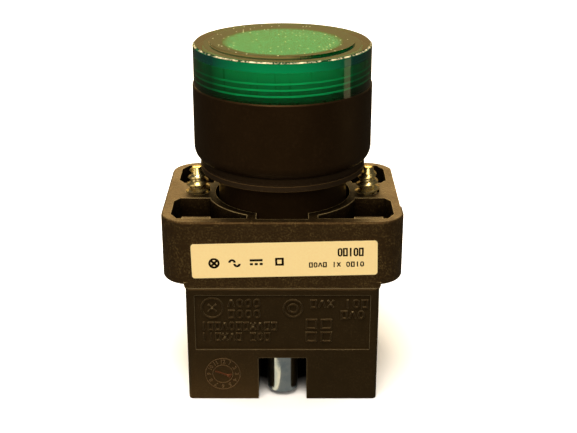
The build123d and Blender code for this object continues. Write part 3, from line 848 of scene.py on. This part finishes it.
@dataclass
class SignWriter:
    """Writes rows of plain signs as raised strokes."""

    height: float
    width: float
    stroke: float
    relief: float
    pitch: float

    def row(self, shape: BMesh, place: Matrix, left: float, middle: float, signs: str) -> None:
        """Write one row.

        Args:
            shape: Bmesh that gets the strokes.
            place: Frame of the face.
            left: Where the row starts.
            middle: Height of its middle line.
            signs: Values of Mark, one a place.
        """
        for index, letter in enumerate(signs):
            centre = (left + self.width / 2 + index * self.pitch, middle)
            self.sign(shape, place, centre, Mark(letter))

    def sign(self, shape: BMesh, place: Matrix, centre: tuple[float, float], mark: Mark) -> None:
        """Write one sign.

        Args:
            shape: Bmesh that gets the strokes.
            place: Frame of the face.
            centre: The sign's middle on that face.
            mark: The sign; a gap adds nothing.
        """
        x, y = centre
        half_w, half_h = self.width / 2 - self.stroke / 2, self.height / 2 - self.stroke / 2
        stroke, relief = self.stroke, self.relief
        if mark in (Mark.RING, Mark.BOX):
            before = set(shape.verts)
            # A ring of four stretches is a square, whose corners lie further out than its sides
            spread, start, steps = (1.0, 0.0, 28) if mark is Mark.RING else (math.sqrt(2), 45.0, 4)
            ridge_ring(
                shape, place, centre, half_w * spread, stroke * spread, relief, 360.0, start, steps
            )
            inward = place.inverted()
            up = place.to_3x3() @ Vector((0.0, half_h - half_w, 0.0))
            for vert in set(shape.verts) - before:
                side = (inward @ vert.co).y - y
                if abs(side) > NEAR:
                    vert.co += math.copysign(1.0, side) * up
        elif mark is Mark.BAR:
            ridge_bar(shape, place, centre, self.height, stroke, relief, 90)
        elif mark in (Mark.CROSS, Mark.CHEVRON):
            crossing = mark is Mark.CROSS
            reach = 1.0 if crossing else 0.5
            lean = math.degrees(math.atan2(self.height, self.width * reach))
            length = math.hypot(self.height, self.width * reach) - stroke
            for side in (-1, 1):
                offset = 0.0 if crossing else side * self.width / 4
                ridge_bar(shape, place, (x + offset, y), length, stroke, relief, -side * lean)


@dataclass
class LensHead:
    """Head, gasket, lens and diffuser, with the thread that joins the lens to the head."""

    shop: Workshop
    pitch: float = 1.0
    turns: float = 3.2
    thread_foot: float = 0.25
    ridge_height: float = 0.22
    half_root: float = 0.16
    half_crest: float = 0.05
    spigot_root: float = 12.75
    bore_root: float = 13.18
    sink: float = 0.05
    facets: int = 96

    def build(self) -> None:
        """Make the two threads and dress the CAD pieces."""
        seam = self.shop.corners("lens_cap")[0].z
        for name, root, outward, phase, body, finish, slot in (
            ("spigot_thread", self.spigot_root, 1, 0.5, "head", HEAD_PLASTIC, "head"),
            ("lens_thread", self.bore_root, -1, 0.0, "lens", LENS_RIDGE_PAINTED_GLINT, "lens"),
        ):
            shape = bmesh.new()
            helix_ridge(
                shape, root, root + outward * (self.ridge_height + self.sink), self.half_root,
                self.half_crest, self.pitch, self.turns, seam + self.thread_foot + phase * self.pitch,
                self.facets,
            )
            self.shop.piece(shape, name, finish, body, slot)
        self.shop.dress(LENS_GREEN, "lens_cap")
        self.shop.dress(DIFFUSER_WHITE, "diffuser_disc")
        self.shop.dress(HEAD_PLASTIC, "head_body")
        self.shop.dress(GASKET_RUBBER, "sealing_gasket")


@dataclass
class ClampScrews:
    """Two self-tapping screws whose tips press on the panel from behind."""

    shop: Workshop
    core: float = 1.45
    crest: float = 2.1
    tip_core: float = 0.95
    tip_crest: float = 1.25
    tip_length: float = 3.7
    pitch: float = 1.27
    half_root: float = 0.54
    half_crest: float = 0.1
    sink: float = 0.15
    start_gap: float = 0.05
    facets: int = 48
    foot_edge: float = 0.25
    edge: float = 0.15
    neck: float = 0.2
    tip_edge: float = 0.12
    head_height: float = 2.0
    recess_width: float = 0.9
    recess_reach: float = 1.89
    recess_depth: float = 1.1
    sharp_angle: float = 50.0

    def build(self) -> None:
        """Make both screws in place of the plain CAD ones."""
        for side in ("left", "right"):
            node = f"clamp_screw_{side}"
            low, high = self.shop.corners(node)
            shape = bmesh.new()
            self.turn_core(shape, (high.x - low.x) / 2, low.z, high.z)
            self.cut_recess(shape, low.z)
            self.wind_thread(shape, low.z + self.head_height, high.z)
            centre = ((low.x + high.x) / 2, (low.y + high.y) / 2, 0.0)
            bmesh.ops.translate(shape, vec=centre, verts=shape.verts)
            screw = self.shop.piece(
                shape, f"tapping_{node}", YELLOW_ZINC, node, "yellow_zinc", self.sharp_angle
            )
            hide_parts(node)

    def turn_core(self, shape: BMesh, head_radius: float, foot: float, tip: float) -> None:
        """Turn the head, the core and its taper.

        Args:
            shape: Bmesh that gets the skin.
            head_radius: Radius of the head.
            foot: Level of the head's foot.
            tip: Level of the screw's tip.
        """
        head_top = foot + self.head_height
        taper = tip - self.tip_length
        lathe(shape, [
            (0.0, foot), (head_radius - self.foot_edge, foot), (head_radius, foot + self.foot_edge),
            (head_radius, head_top - self.edge), (head_radius - self.edge, head_top),
            (self.core + self.neck, head_top), (self.core, head_top + self.neck), (self.core, taper),
            (self.tip_core, tip - self.tip_edge), (self.tip_core - self.edge, tip), (0.0, tip),
        ])

    def cut_recess(self, shape: BMesh, foot: float) -> None:
        """Sink a cross recess into the head's foot.

        Args:
            shape: Bmesh of the turned screw.
            foot: Level of the head's foot.
        """
        half = self.recess_width / 2
        for axis, side in ((0, -1), (0, 1), (1, -1), (1, 1)):
            point, normal = [0.0, 0.0, 0.0], [0.0, 0.0, 0.0]
            point[axis], normal[axis] = side * half, 1.0
            self.slice_foot(shape, foot, point, normal)
            point[axis] = side * self.recess_reach
            self.slice_foot(shape, foot, point, normal)
        sunk = []
        for face in shape.faces:
            middle = face.calc_center_median()
            across, along = sorted((abs(middle.x), abs(middle.y)))
            if abs(middle.z - foot) < NEAR and across < half and along < self.recess_reach:
                sunk.append(face)
        pushed = bmesh.ops.extrude_face_region(shape, geom=sunk)["geom"]
        verts = [item for item in pushed if isinstance(item, BMVert)]
        bmesh.ops.translate(shape, vec=(0, 0, self.recess_depth), verts=verts)
        bmesh.ops.delete(shape, geom=sunk, context="FACES_ONLY")

    def slice_foot(
        self, shape: BMesh, foot: float, point: list[float], normal: list[float]
    ) -> None:
        """Cut the faces of the head's foot along a plane.

        Args:
            shape: Bmesh of the turned screw.
            foot: Level of the head's foot.
            point: A point of the plane.
            normal: The plane's normal.
        """
        flat = [face for face in shape.faces if abs(face.calc_center_median().z - foot) < NEAR]
        edges = list({edge for face in flat for edge in face.edges})
        bmesh.ops.bisect_plane(shape, geom=flat + edges, plane_co=point, plane_no=normal, dist=1e-6)

    def wind_thread(self, shape: BMesh, foot: float, tip: float) -> None:
        """Wind the coarse thread and let it shrink along the taper.

        Args:
            shape: Bmesh of the turned screw.
            foot: Level where the thread starts.
            tip: Level of the screw's tip.
        """
        run = tip - foot - 2 * self.half_root
        verts = helix_ridge(
            shape, self.core - self.sink, self.crest, self.half_root, self.half_crest, self.pitch,
            run / self.pitch, foot + self.half_root + self.start_gap, self.facets,
        )
        taper = tip - self.tip_length
        for vert in verts:
            share = max(0.0, min(1.0, (vert.co.z - taper) / self.tip_length))
            flat = Vector((vert.co.x, vert.co.y))
            depth = (flat.length - self.core) / (self.crest - self.core)
            core = self.core + (self.tip_core - self.core) * share
            crest = self.crest + (self.tip_crest - self.crest) * share
            flat = flat.normalized() * (core + (crest - core) * depth)
            vert.co.x, vert.co.y = flat


@dataclass
class FrontLabel:
    """Sticker on the base's front with its black print, placed from the sticker's middle."""

    shop: Workshop
    width: float = 30.4
    height: float = 6.05
    corner: float = 0.5
    tilt: float = 1.3
    print_height: float = 0.02
    stroke: float = 0.38
    lamp: tuple[float, float] = (-11.5, -0.4)
    lamp_radius: float = 0.75
    lamp_stroke: float = 0.36
    wave: tuple[float, float] = (-8.15, -0.45)
    wave_radius: float = 0.42
    wave_offset: tuple[float, float] = (0.4, 0.12)
    line: tuple[float, float] = (-4.6, 0.0)
    line_length: float = 2.1
    dash_length: float = 0.5
    dash_pitch: float = 0.8
    dash_drop: float = 0.68
    box: tuple[float, float] = (-0.8, -0.35)
    box_reach: float = 0.75
    box_stroke: float = 0.5
    ink_draft: float = 0.98
    bold_row: tuple[float, float] = (8.7, 1.1)
    small_row: tuple[float, float] = (4.0, -1.05)

    def build(self) -> None:
        """Make the sheet in place of the CAD one and print on it."""
        low, high = self.shop.corners("base_label")
        centre = (low + high) / 2
        thickness = high.y - low.y - self.print_height
        place = front_face(centre.x, high.y, centre.z, self.tilt)
        shape = bmesh.new()
        verts = bmesh.ops.create_grid(shape, x_segments=1, y_segments=1, size=0.5)["verts"]
        bmesh.ops.scale(shape, vec=(self.width, self.height, 1.0), verts=verts)
        bmesh.ops.bevel(
            shape, geom=verts, offset=self.corner, segments=6, profile=0.5, affect="VERTICES",
            material=-1,
        )
        raised = bmesh.ops.extrude_face_region(shape, geom=shape.faces[:])["geom"]
        raised = [item for item in raised if isinstance(item, BMVert)]
        bmesh.ops.translate(shape, vec=(0, 0, thickness), verts=raised)
        bmesh.ops.transform(shape, matrix=place, verts=shape.verts)
        sheet = self.shop.piece(shape, "label_sheet", LABEL_PAPER, "base", "label")
        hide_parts("base_label")
        self.print_signs(place @ Matrix.Translation((0, 0, thickness)))

    def print_signs(self, place: Matrix) -> None:
        """Print a lamp sign, two supply signs, a square and two rows of plain signs.

        Args:
            place: Frame of the sticker's face.
        """
        shape = bmesh.new()
        ink, stroke = self.print_height, self.stroke
        ridge_ring(shape, place, self.lamp, self.lamp_radius, self.lamp_stroke, ink)
        for angle in (45, -45):
            ridge_bar(shape, place, self.lamp, 2 * self.lamp_radius, self.lamp_stroke, ink, angle, 1.0)
        for side, start in ((-1, 360.0), (1, 180.0)):
            centre = (
                self.wave[0] + side * self.wave_offset[0], self.wave[1] - side * self.wave_offset[1]
            )
            ridge_ring(shape, place, centre, self.wave_radius, stroke, ink, 180.0, start)
        ridge_bar(shape, place, self.line, self.line_length, stroke, ink, draft=self.ink_draft)
        for step in (-1, 0, 1):
            centre = (self.line[0] + step * self.dash_pitch, self.line[1] - self.dash_drop)
            ridge_bar(shape, place, centre, self.dash_length, stroke, ink, draft=self.ink_draft)
        ridge_ring(
            shape, place, self.box, self.box_reach, self.box_stroke, ink, start=45.0, steps=4
        )
        bold = SignWriter(height=1.5, width=0.8, stroke=0.28, relief=ink, pitch=0.86)
        bold.row(shape, place, *self.bold_row, "obiob")
        small = SignWriter(height=0.95, width=0.64, stroke=0.21, relief=ink, pitch=0.76)
        small.row(shape, place, *self.small_row, "bovb ix obio")
        self.shop.piece(shape, "label_print", PRINT_INK, "base", "label")


@dataclass
class BlockMarks:
    """Raised signs in the block's marking panel and the date dial below it."""

    shop: Workshop
    panel_depth: float = 0.3
    relief: float = 0.24
    stroke: float = 0.3
    panel_middle: float = 14.65
    crossed_ring: tuple[float, float] = (-11.7, 2.65)
    crossed_radius: float = 1.8
    crossed_length: float = 1.9
    double_ring: tuple[float, float] = (1.75, 2.55)
    double_radii: tuple[float, float] = (1.55, 0.75)
    box_size: float = 1.9
    box_columns: tuple[float, float] = (4.85, 7.35)
    box_rows: tuple[float, float] = (-0.35, -2.75)
    dial_x: float = -10.15
    dial_z: float = 4.96
    dial_radius: float = 2.95
    dial_relief: float = 0.12
    dial_stroke: float = 0.12
    inner_share: float = 0.58
    number_share: float = 0.79
    number_size: float = 0.95
    arrow_turn: float = 160.0
    arrow_length: float = 2.8
    arrow_stroke: float = 0.3
    barb_length: float = 0.8
    barb_stroke: float = 0.26
    barb_lean: float = 25.0
    barb_place: tuple[float, float] = (-1.1, 0.18)

    def build(self) -> None:
        """Make the marks and the dial."""
        front = self.shop.corners("lamp_block")[0].y
        self.write_panel(front_face(0.0, front + self.panel_depth, self.panel_middle))
        self.write_dial(front_face(self.dial_x, front, self.dial_z))

    def write_panel(self, place: Matrix) -> None:
        """Write two ringed signs, six rows and a group of four boxes.

        Args:
            place: Frame of the panel's face.
        """
        shape = bmesh.new()
        relief, stroke = self.relief, self.stroke
        ridge_ring(shape, place, self.crossed_ring, self.crossed_radius, stroke, relief)
        for angle in (45, -45):
            ridge_bar(shape, place, self.crossed_ring, self.crossed_length, stroke, relief, angle)
        for radius in self.double_radii:
            ridge_ring(shape, place, self.double_ring, radius, stroke, relief)
        writer = SignWriter(height=1.6, width=1.15, stroke=stroke, relief=relief, pitch=1.42)
        small = SignWriter(height=1.6, width=1.0, stroke=stroke, relief=relief, pitch=1.18)
        for hand, left, middle, signs in (
            (writer, -9.1, 3.5, "vooo"), (writer, -9.1, 1.5, "booo"), (writer, 4.6, 3.4, "bvx iob"),
            (writer, 9.7, 1.35, "bvo"), (small, -13.7, -0.75, "ibbvobbxvbb"),
            (small, -13.7, -2.75, "iibxvb bob"),
        ):
            hand.row(shape, place, left, middle, signs)
        large = SignWriter(self.box_size, self.box_size, stroke, relief, self.box_size)
        for x in self.box_columns:
            for y in self.box_rows:
                large.sign(shape, place, (x, y), Mark.BOX)
        self.shop.piece(shape, "panel_marks", MARK_PLASTIC, "base", "block")

    def write_dial(self, place: Matrix) -> None:
        """Write the numbers 1 to 12 round an arrow, as a mould's date insert leaves them.

        Args:
            place: Frame of the dial's face.
        """
        shape = bmesh.new()
        relief = self.dial_relief
        for share in (1.0, self.inner_share):
            ridge_ring(shape, place, (0, 0), self.dial_radius * share, self.dial_stroke, relief)
        for number in range(1, 13):
            angle = math.radians(90 - 30 * number)
            reach = self.dial_radius * self.number_share
            self.write_number(
                shape, place, str(number), (reach * math.cos(angle), reach * math.sin(angle)),
                math.degrees(angle) - 90,
            )
        self.shop.piece(shape, "date_dial", DIAL_PLASTIC, "base", "block")
        arrow = bmesh.new()
        ridge_bar(arrow, place, (0, 0), self.arrow_length, self.arrow_stroke, relief, self.arrow_turn)
        turned = Matrix.Rotation(math.radians(self.arrow_turn), 2)
        for side in (-1, 1):
            centre = turned @ Vector((self.barb_place[0], -side * self.barb_place[1]))
            lean = self.arrow_turn + side * self.barb_lean
            ridge_bar(arrow, place, tuple(centre), self.barb_length, self.barb_stroke, relief, lean)
        self.shop.piece(arrow, "date_arrow", ARROW_PLASTIC, "base", "block")

    def write_number(
        self, shape: BMesh, place: Matrix, digits: str, centre: tuple[float, float], turn: float
    ) -> None:
        """Add a raised number from the built-in letters.

        Args:
            shape: Bmesh that gets it.
            place: Frame of the face.
            digits: The number.
            centre: Its middle on the face.
            turn: Its turn in degrees.
        """
        text = bpy.data.curves.new("number", "FONT")
        text.body, text.size, text.extrude = digits, self.number_size, self.dial_relief / 2
        text.align_x, text.align_y, text.resolution_u = "CENTER", "CENTER", 3
        holder = bpy.data.objects.new("number", text)
        mesh = bpy.data.meshes.new_from_object(holder)
        added = bmesh.new()
        added.from_mesh(mesh)
        matrix = (
            place
            @ Matrix.Translation((*centre, self.dial_relief / 2))
            @ Matrix.Rotation(math.radians(turn), 4, "Z")
        )
        bmesh.ops.transform(added, matrix=matrix, verts=added.verts)
        added.to_mesh(mesh)
        added.free()
        shape.from_mesh(mesh)
        bpy.data.objects.remove(holder)
        bpy.data.curves.remove(text)
        bpy.data.meshes.remove(mesh)


@dataclass
class BaseAndBlock:
    """The two black mouldings and the metal pieces that they hold."""

    shop: Workshop

    def build(self) -> None:
        """Dress the CAD pieces and make what they carry."""
        self.shop.dress(BASE_PLASTIC, "mounting_base")
        self.shop.dress(BLOCK_PLASTIC, "lamp_block")
        self.shop.dress(BLUE_ZINC, "block_screw_front", "block_screw_back")
        for side in ("left", "right"):
            self.shop.dress(SHEET_BRASS, f"terminal_plate_{side}")
            self.shop.dress(BRIGHT_ZINC, f"terminal_clamp_{side}", f"terminal_screw_{side}")
        ClampScrews(self.shop).build()
        FrontLabel(self.shop).build()
        BlockMarks(self.shop).build()


@dataclass
class BayonetLamp:
    """The lamp and the socket that holds it, with the spring under the centre contact."""

    shop: Workshop
    wire: float = 0.4
    wire_sides: int = 10
    coils: int = 3
    coil_steps: int = 32
    travel: float = 1.2

    def build(self) -> None:
        """Dress the CAD pieces and make the spring."""
        self.shop.dress(SHEET_BRASS, "socket_shell")
        self.shop.dress(SOCKET_BOARD, "socket_insulator")
        self.shop.dress(NICKEL, "centre_contact", "lamp_cap")
        self.shop.dress(FOOT_GLASS, "lamp_insulator")
        self.shop.dress(SOLDER, "lamp_tip")
        self.shop.dress(LAMP_GLASS, "lamp_bulb")
        self.wind_spring()

    def wind_spring(self) -> None:
        """Wind the spring in place of the stiff CAD one, and give it a mesh of its own."""
        low, high = self.shop.corners("contact_spring")
        radius, rise = (high.x - low.x - self.wire) / 2, high.z - low.z - self.wire
        shape = bmesh.new()
        section = bmesh.ops.create_circle(
            shape, segments=self.wire_sides, radius=self.wire / 2
        )["verts"]
        start = Matrix.Translation((radius, 0.0, low.z + self.wire / 2))
        upright = Matrix.Rotation(math.radians(90), 4, "X")
        bmesh.ops.transform(shape, matrix=start @ upright, verts=section)
        steps = self.coils * self.coil_steps
        bmesh.ops.spin(
            shape, geom=section + shape.edges[:], cent=(0, 0, 0), axis=(0, 0, 1),
            dvec=(0, 0, rise / steps), angle=math.tau * self.coils, steps=steps,
        )
        ends = [edge for edge in shape.edges if edge.is_boundary]
        bmesh.ops.holes_fill(shape, edges=ends, sides=self.wire_sides)
        coil = self.shop.piece(shape, "coiled_contact_spring", SPRING_WIRE, "base", "spring_steel")
        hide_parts("contact_spring")
        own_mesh(coil)


@dataclass
class Softbox:
    """A soft rectangular lamp, aimed at a point of the object; its lengths are in metres."""

    name: str
    place: tuple[float, float, float]
    size: tuple[float, float]
    radiance: float
    colour: str
    aim: tuple[float, float, float] = (0.0, 0.0, 0.035)

    def build(self) -> None:
        """Make the lamp, with the power that gives its panel the wanted radiance."""
        data = bpy.data.lights.new(self.name, "AREA")
        data.shape = "RECTANGLE"
        data.size, data.size_y = self.size
        data.energy = self.radiance * math.pi * self.size[0] * self.size[1]
        data.color = linear(self.colour)[:3]
        thing = bpy.data.objects.new(self.name, data)
        thing.location = self.place
        thing.rotation_euler = (Vector(self.aim) - Vector(self.place)).to_track_quat("-Z", "Y").to_euler()
        thing.visible_camera = False
        bpy.context.scene.collection.objects.link(thing)


LAMPS = (
    Softbox("key above", (-0.08, -0.30, 0.62), (0.40, 0.24), 15.0, "#fff0d6"),
    Softbox("front fill", (0.05, -0.80, 0.50), (0.7, 0.4), 4.8, "#fff0d6"),
    Softbox("low back glow", (0.0, 0.75, 0.16), (1.6, 0.20), 0.56, "#ffc964", (0.0, 0.0, 0.05)),
    Softbox("back window", (-0.06, 0.75, 0.52), (0.62, 0.26), 15.0, "#ffda92"),
    Softbox("left fill", (-0.60, -0.36, 0.24), (0.4, 0.4), 1.5, "#ffeccb"),
    Softbox("right card", (0.12, -0.008, 0.021), (0.024, 0.036), 1.0, "#ffe9b0", (0.0, 0.0, 0.03)),
)


@dataclass
class Studio:
    """Camera at the photograph's angle, pale floor and soft light.

    The camera's place and the floor's size are in metres, distances on the floor in millimetres.
    """

    camera_place: tuple[float, float, float] = (0.001009, -0.179836, 0.099416)
    camera_pitch: float = 21.715
    focal_pixels: float = 1104.536
    frame_pixels: float = 577.0
    sensor: float = 36.0
    clip_start: float = 0.01
    floor_size: float = 6.0
    world_level: float = 0.09
    room: str = "#fff8ec"
    white: str = "#ffffff"
    board: tuple[str, str] = ("#6a6e70", "#3c3c3c")
    board_fade: tuple[float, float] = (45.0, 67.5)
    # Painted shadow's dark colour under the object's middle, then the pale board that the camera sees,
    # and where it fades
    shown_board_with_shadow: tuple[str, str] = ("#0a0908", "#eef2ff")
    painted_shadow_fade: tuple[float, float] = (8.0, 14.0)
    glow_fade: tuple[float, float] = (14.0, 38.0)
    glow: float = 0.9
    card: str = "#f4ead2"
    card_from: tuple[float, float] = (-19.0, -23.0)
    card_to: tuple[float, float] = (-2.5, -13.5)

    def build(self) -> None:
        """Set up everything that isn't the object."""
        scene = bpy.context.scene
        scene.view_settings.view_transform = "Standard"
        self.add_camera(scene)
        self.add_floor(scene)
        self.light_world(scene)
        for lamp in LAMPS:
            lamp.build()
        log.info("studio ready")

    def add_camera(self, scene: Scene) -> None:
        """Place the camera.

        Args:
            scene: Scene that gets it.
        """
        data = bpy.data.cameras.new("camera")
        data.sensor_width = self.sensor
        data.lens = self.focal_pixels * self.sensor / self.frame_pixels
        data.clip_start = self.clip_start
        camera = bpy.data.objects.new("camera", data)
        camera.location = self.camera_place
        camera.rotation_euler = (math.radians(90 - self.camera_pitch), 0, 0)
        scene.collection.objects.link(camera)
        scene.camera = camera

    def add_floor(self, scene: Scene) -> None:
        """Lay the floor.

        Args:
            scene: Scene that gets it.
        """
        shape = bmesh.new()
        bmesh.ops.create_grid(shape, x_segments=1, y_segments=1, size=self.floor_size / 2)
        mesh = bpy.data.meshes.new("floor")
        shape.to_mesh(mesh)
        shape.free()
        floor = bpy.data.objects.new("floor", mesh)
        scene.collection.objects.link(floor)
        material = bpy.data.materials.new("painted board")
        material.use_nodes = True
        material.node_tree.nodes.clear()
        self.paint_floor(material.node_tree)
        mesh.materials.append(material)

    def paint_floor(self, tree: NodeTree) -> None:
        """Paint the floor as two boards.

        The one that the camera sees has a painted shadow, dark under the object's middle, then turns
        pale, and glows to white further out. The one that light and mirrors see is grey, with a small
        pale card on it.

        Args:
            tree: Node tree of the floor's material.
        """
        path = add_node(tree, "LightPath").outputs
        seen = add_node(
            tree, "Math", {0: path["Is Camera Ray"], 1: path["Is Transmission Ray"]},
            operation="MAXIMUM",
        )
        place = add_node(tree, "TexCoord").outputs["Object"]
        away = add_node(tree, "VectorMath", {0: place}, operation="LENGTH").outputs["Value"]
        far, clear, lit = (
            add_node(
                tree, "MapRange",
                {"Value": away, "From Min": start * MM, "From Max": end * MM, "To Max": level},
            )
            for (start, end), level in (
                (self.board_fade, 1.0), (self.painted_shadow_fade, 1.0), (self.glow_fade, self.glow)
            )
        )
        # The camera's board has a painted shadow: dark under the object's middle, pale further out
        grey, pale = (
            add_node(
                tree, "Mix", {"Factor": share, 6: linear(near), 7: linear(outer)}, data_type="RGBA"
            ).outputs[2]
            for share, (near, outer) in ((far, self.board), (clear, self.shown_board_with_shadow))
        )
        spots = add_node(tree, "SeparateXYZ", {0: place}).outputs
        sides = [
            add_node(
                tree, "Math", {0: spots[axis], 1: (low + high) / 2 * MM, 2: (high - low) / 2 * MM},
                operation="COMPARE",
            )
            for axis, (low, high) in enumerate(zip(self.card_from, self.card_to))
        ]
        on_card = add_node(tree, "Math", {0: sides[0], 1: sides[1]}, operation="MULTIPLY")
        carded = add_node(
            tree, "Mix", {"Factor": on_card, 6: grey, 7: linear(self.card)}, data_type="RGBA"
        ).outputs[2]
        unseen, shown = (
            add_node(tree, "BsdfDiffuse", {"Color": colour}) for colour in (carded, pale)
        )
        glow = add_node(tree, "Emission", {"Color": linear(self.white), "Strength": lit})
        bright = add_node(tree, "AddShader", {0: shown, 1: glow})
        surface = add_node(tree, "MixShader", {0: seen, 1: unseen, 2: bright})
        add_node(tree, "OutputMaterial", {"Surface": surface})

    def light_world(self, scene: Scene) -> None:
        """Give an even room light that shows white to the camera.

        Args:
            scene: Scene that gets it.
        """
        world = bpy.data.worlds.new("studio")
        world.use_nodes = True
        tree = world.node_tree
        tree.nodes.clear()
        seen = add_node(tree, "LightPath").outputs["Is Camera Ray"]
        room, white = (
            add_node(tree, "Background", {"Color": linear(colour), "Strength": level})
            for colour, level in ((self.room, self.world_level), (self.white, 1.0))
        )
        shown = add_node(tree, "MixShader", {0: seen, 1: room, 2: white})
        add_node(tree, "OutputWorld", {"Surface": shown})
        scene.world = world


def main() -> None:
    """Load the frame, build the studio and the sub-assemblies, and log the count of pieces and nodes."""
    logging.basicConfig(level=logging.INFO, format="%(name)s: %(message)s")
    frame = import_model()
    shop = Workshop(frame["nodes"])
    Studio().build()
    LensHead(shop).build()
    BaseAndBlock(shop).build()
    BayonetLamp(shop).build()
    log.info("made %d pieces round %d nodes", len(shop.made), len(frame["nodes"]))


if __name__ == "__main__":
    main()
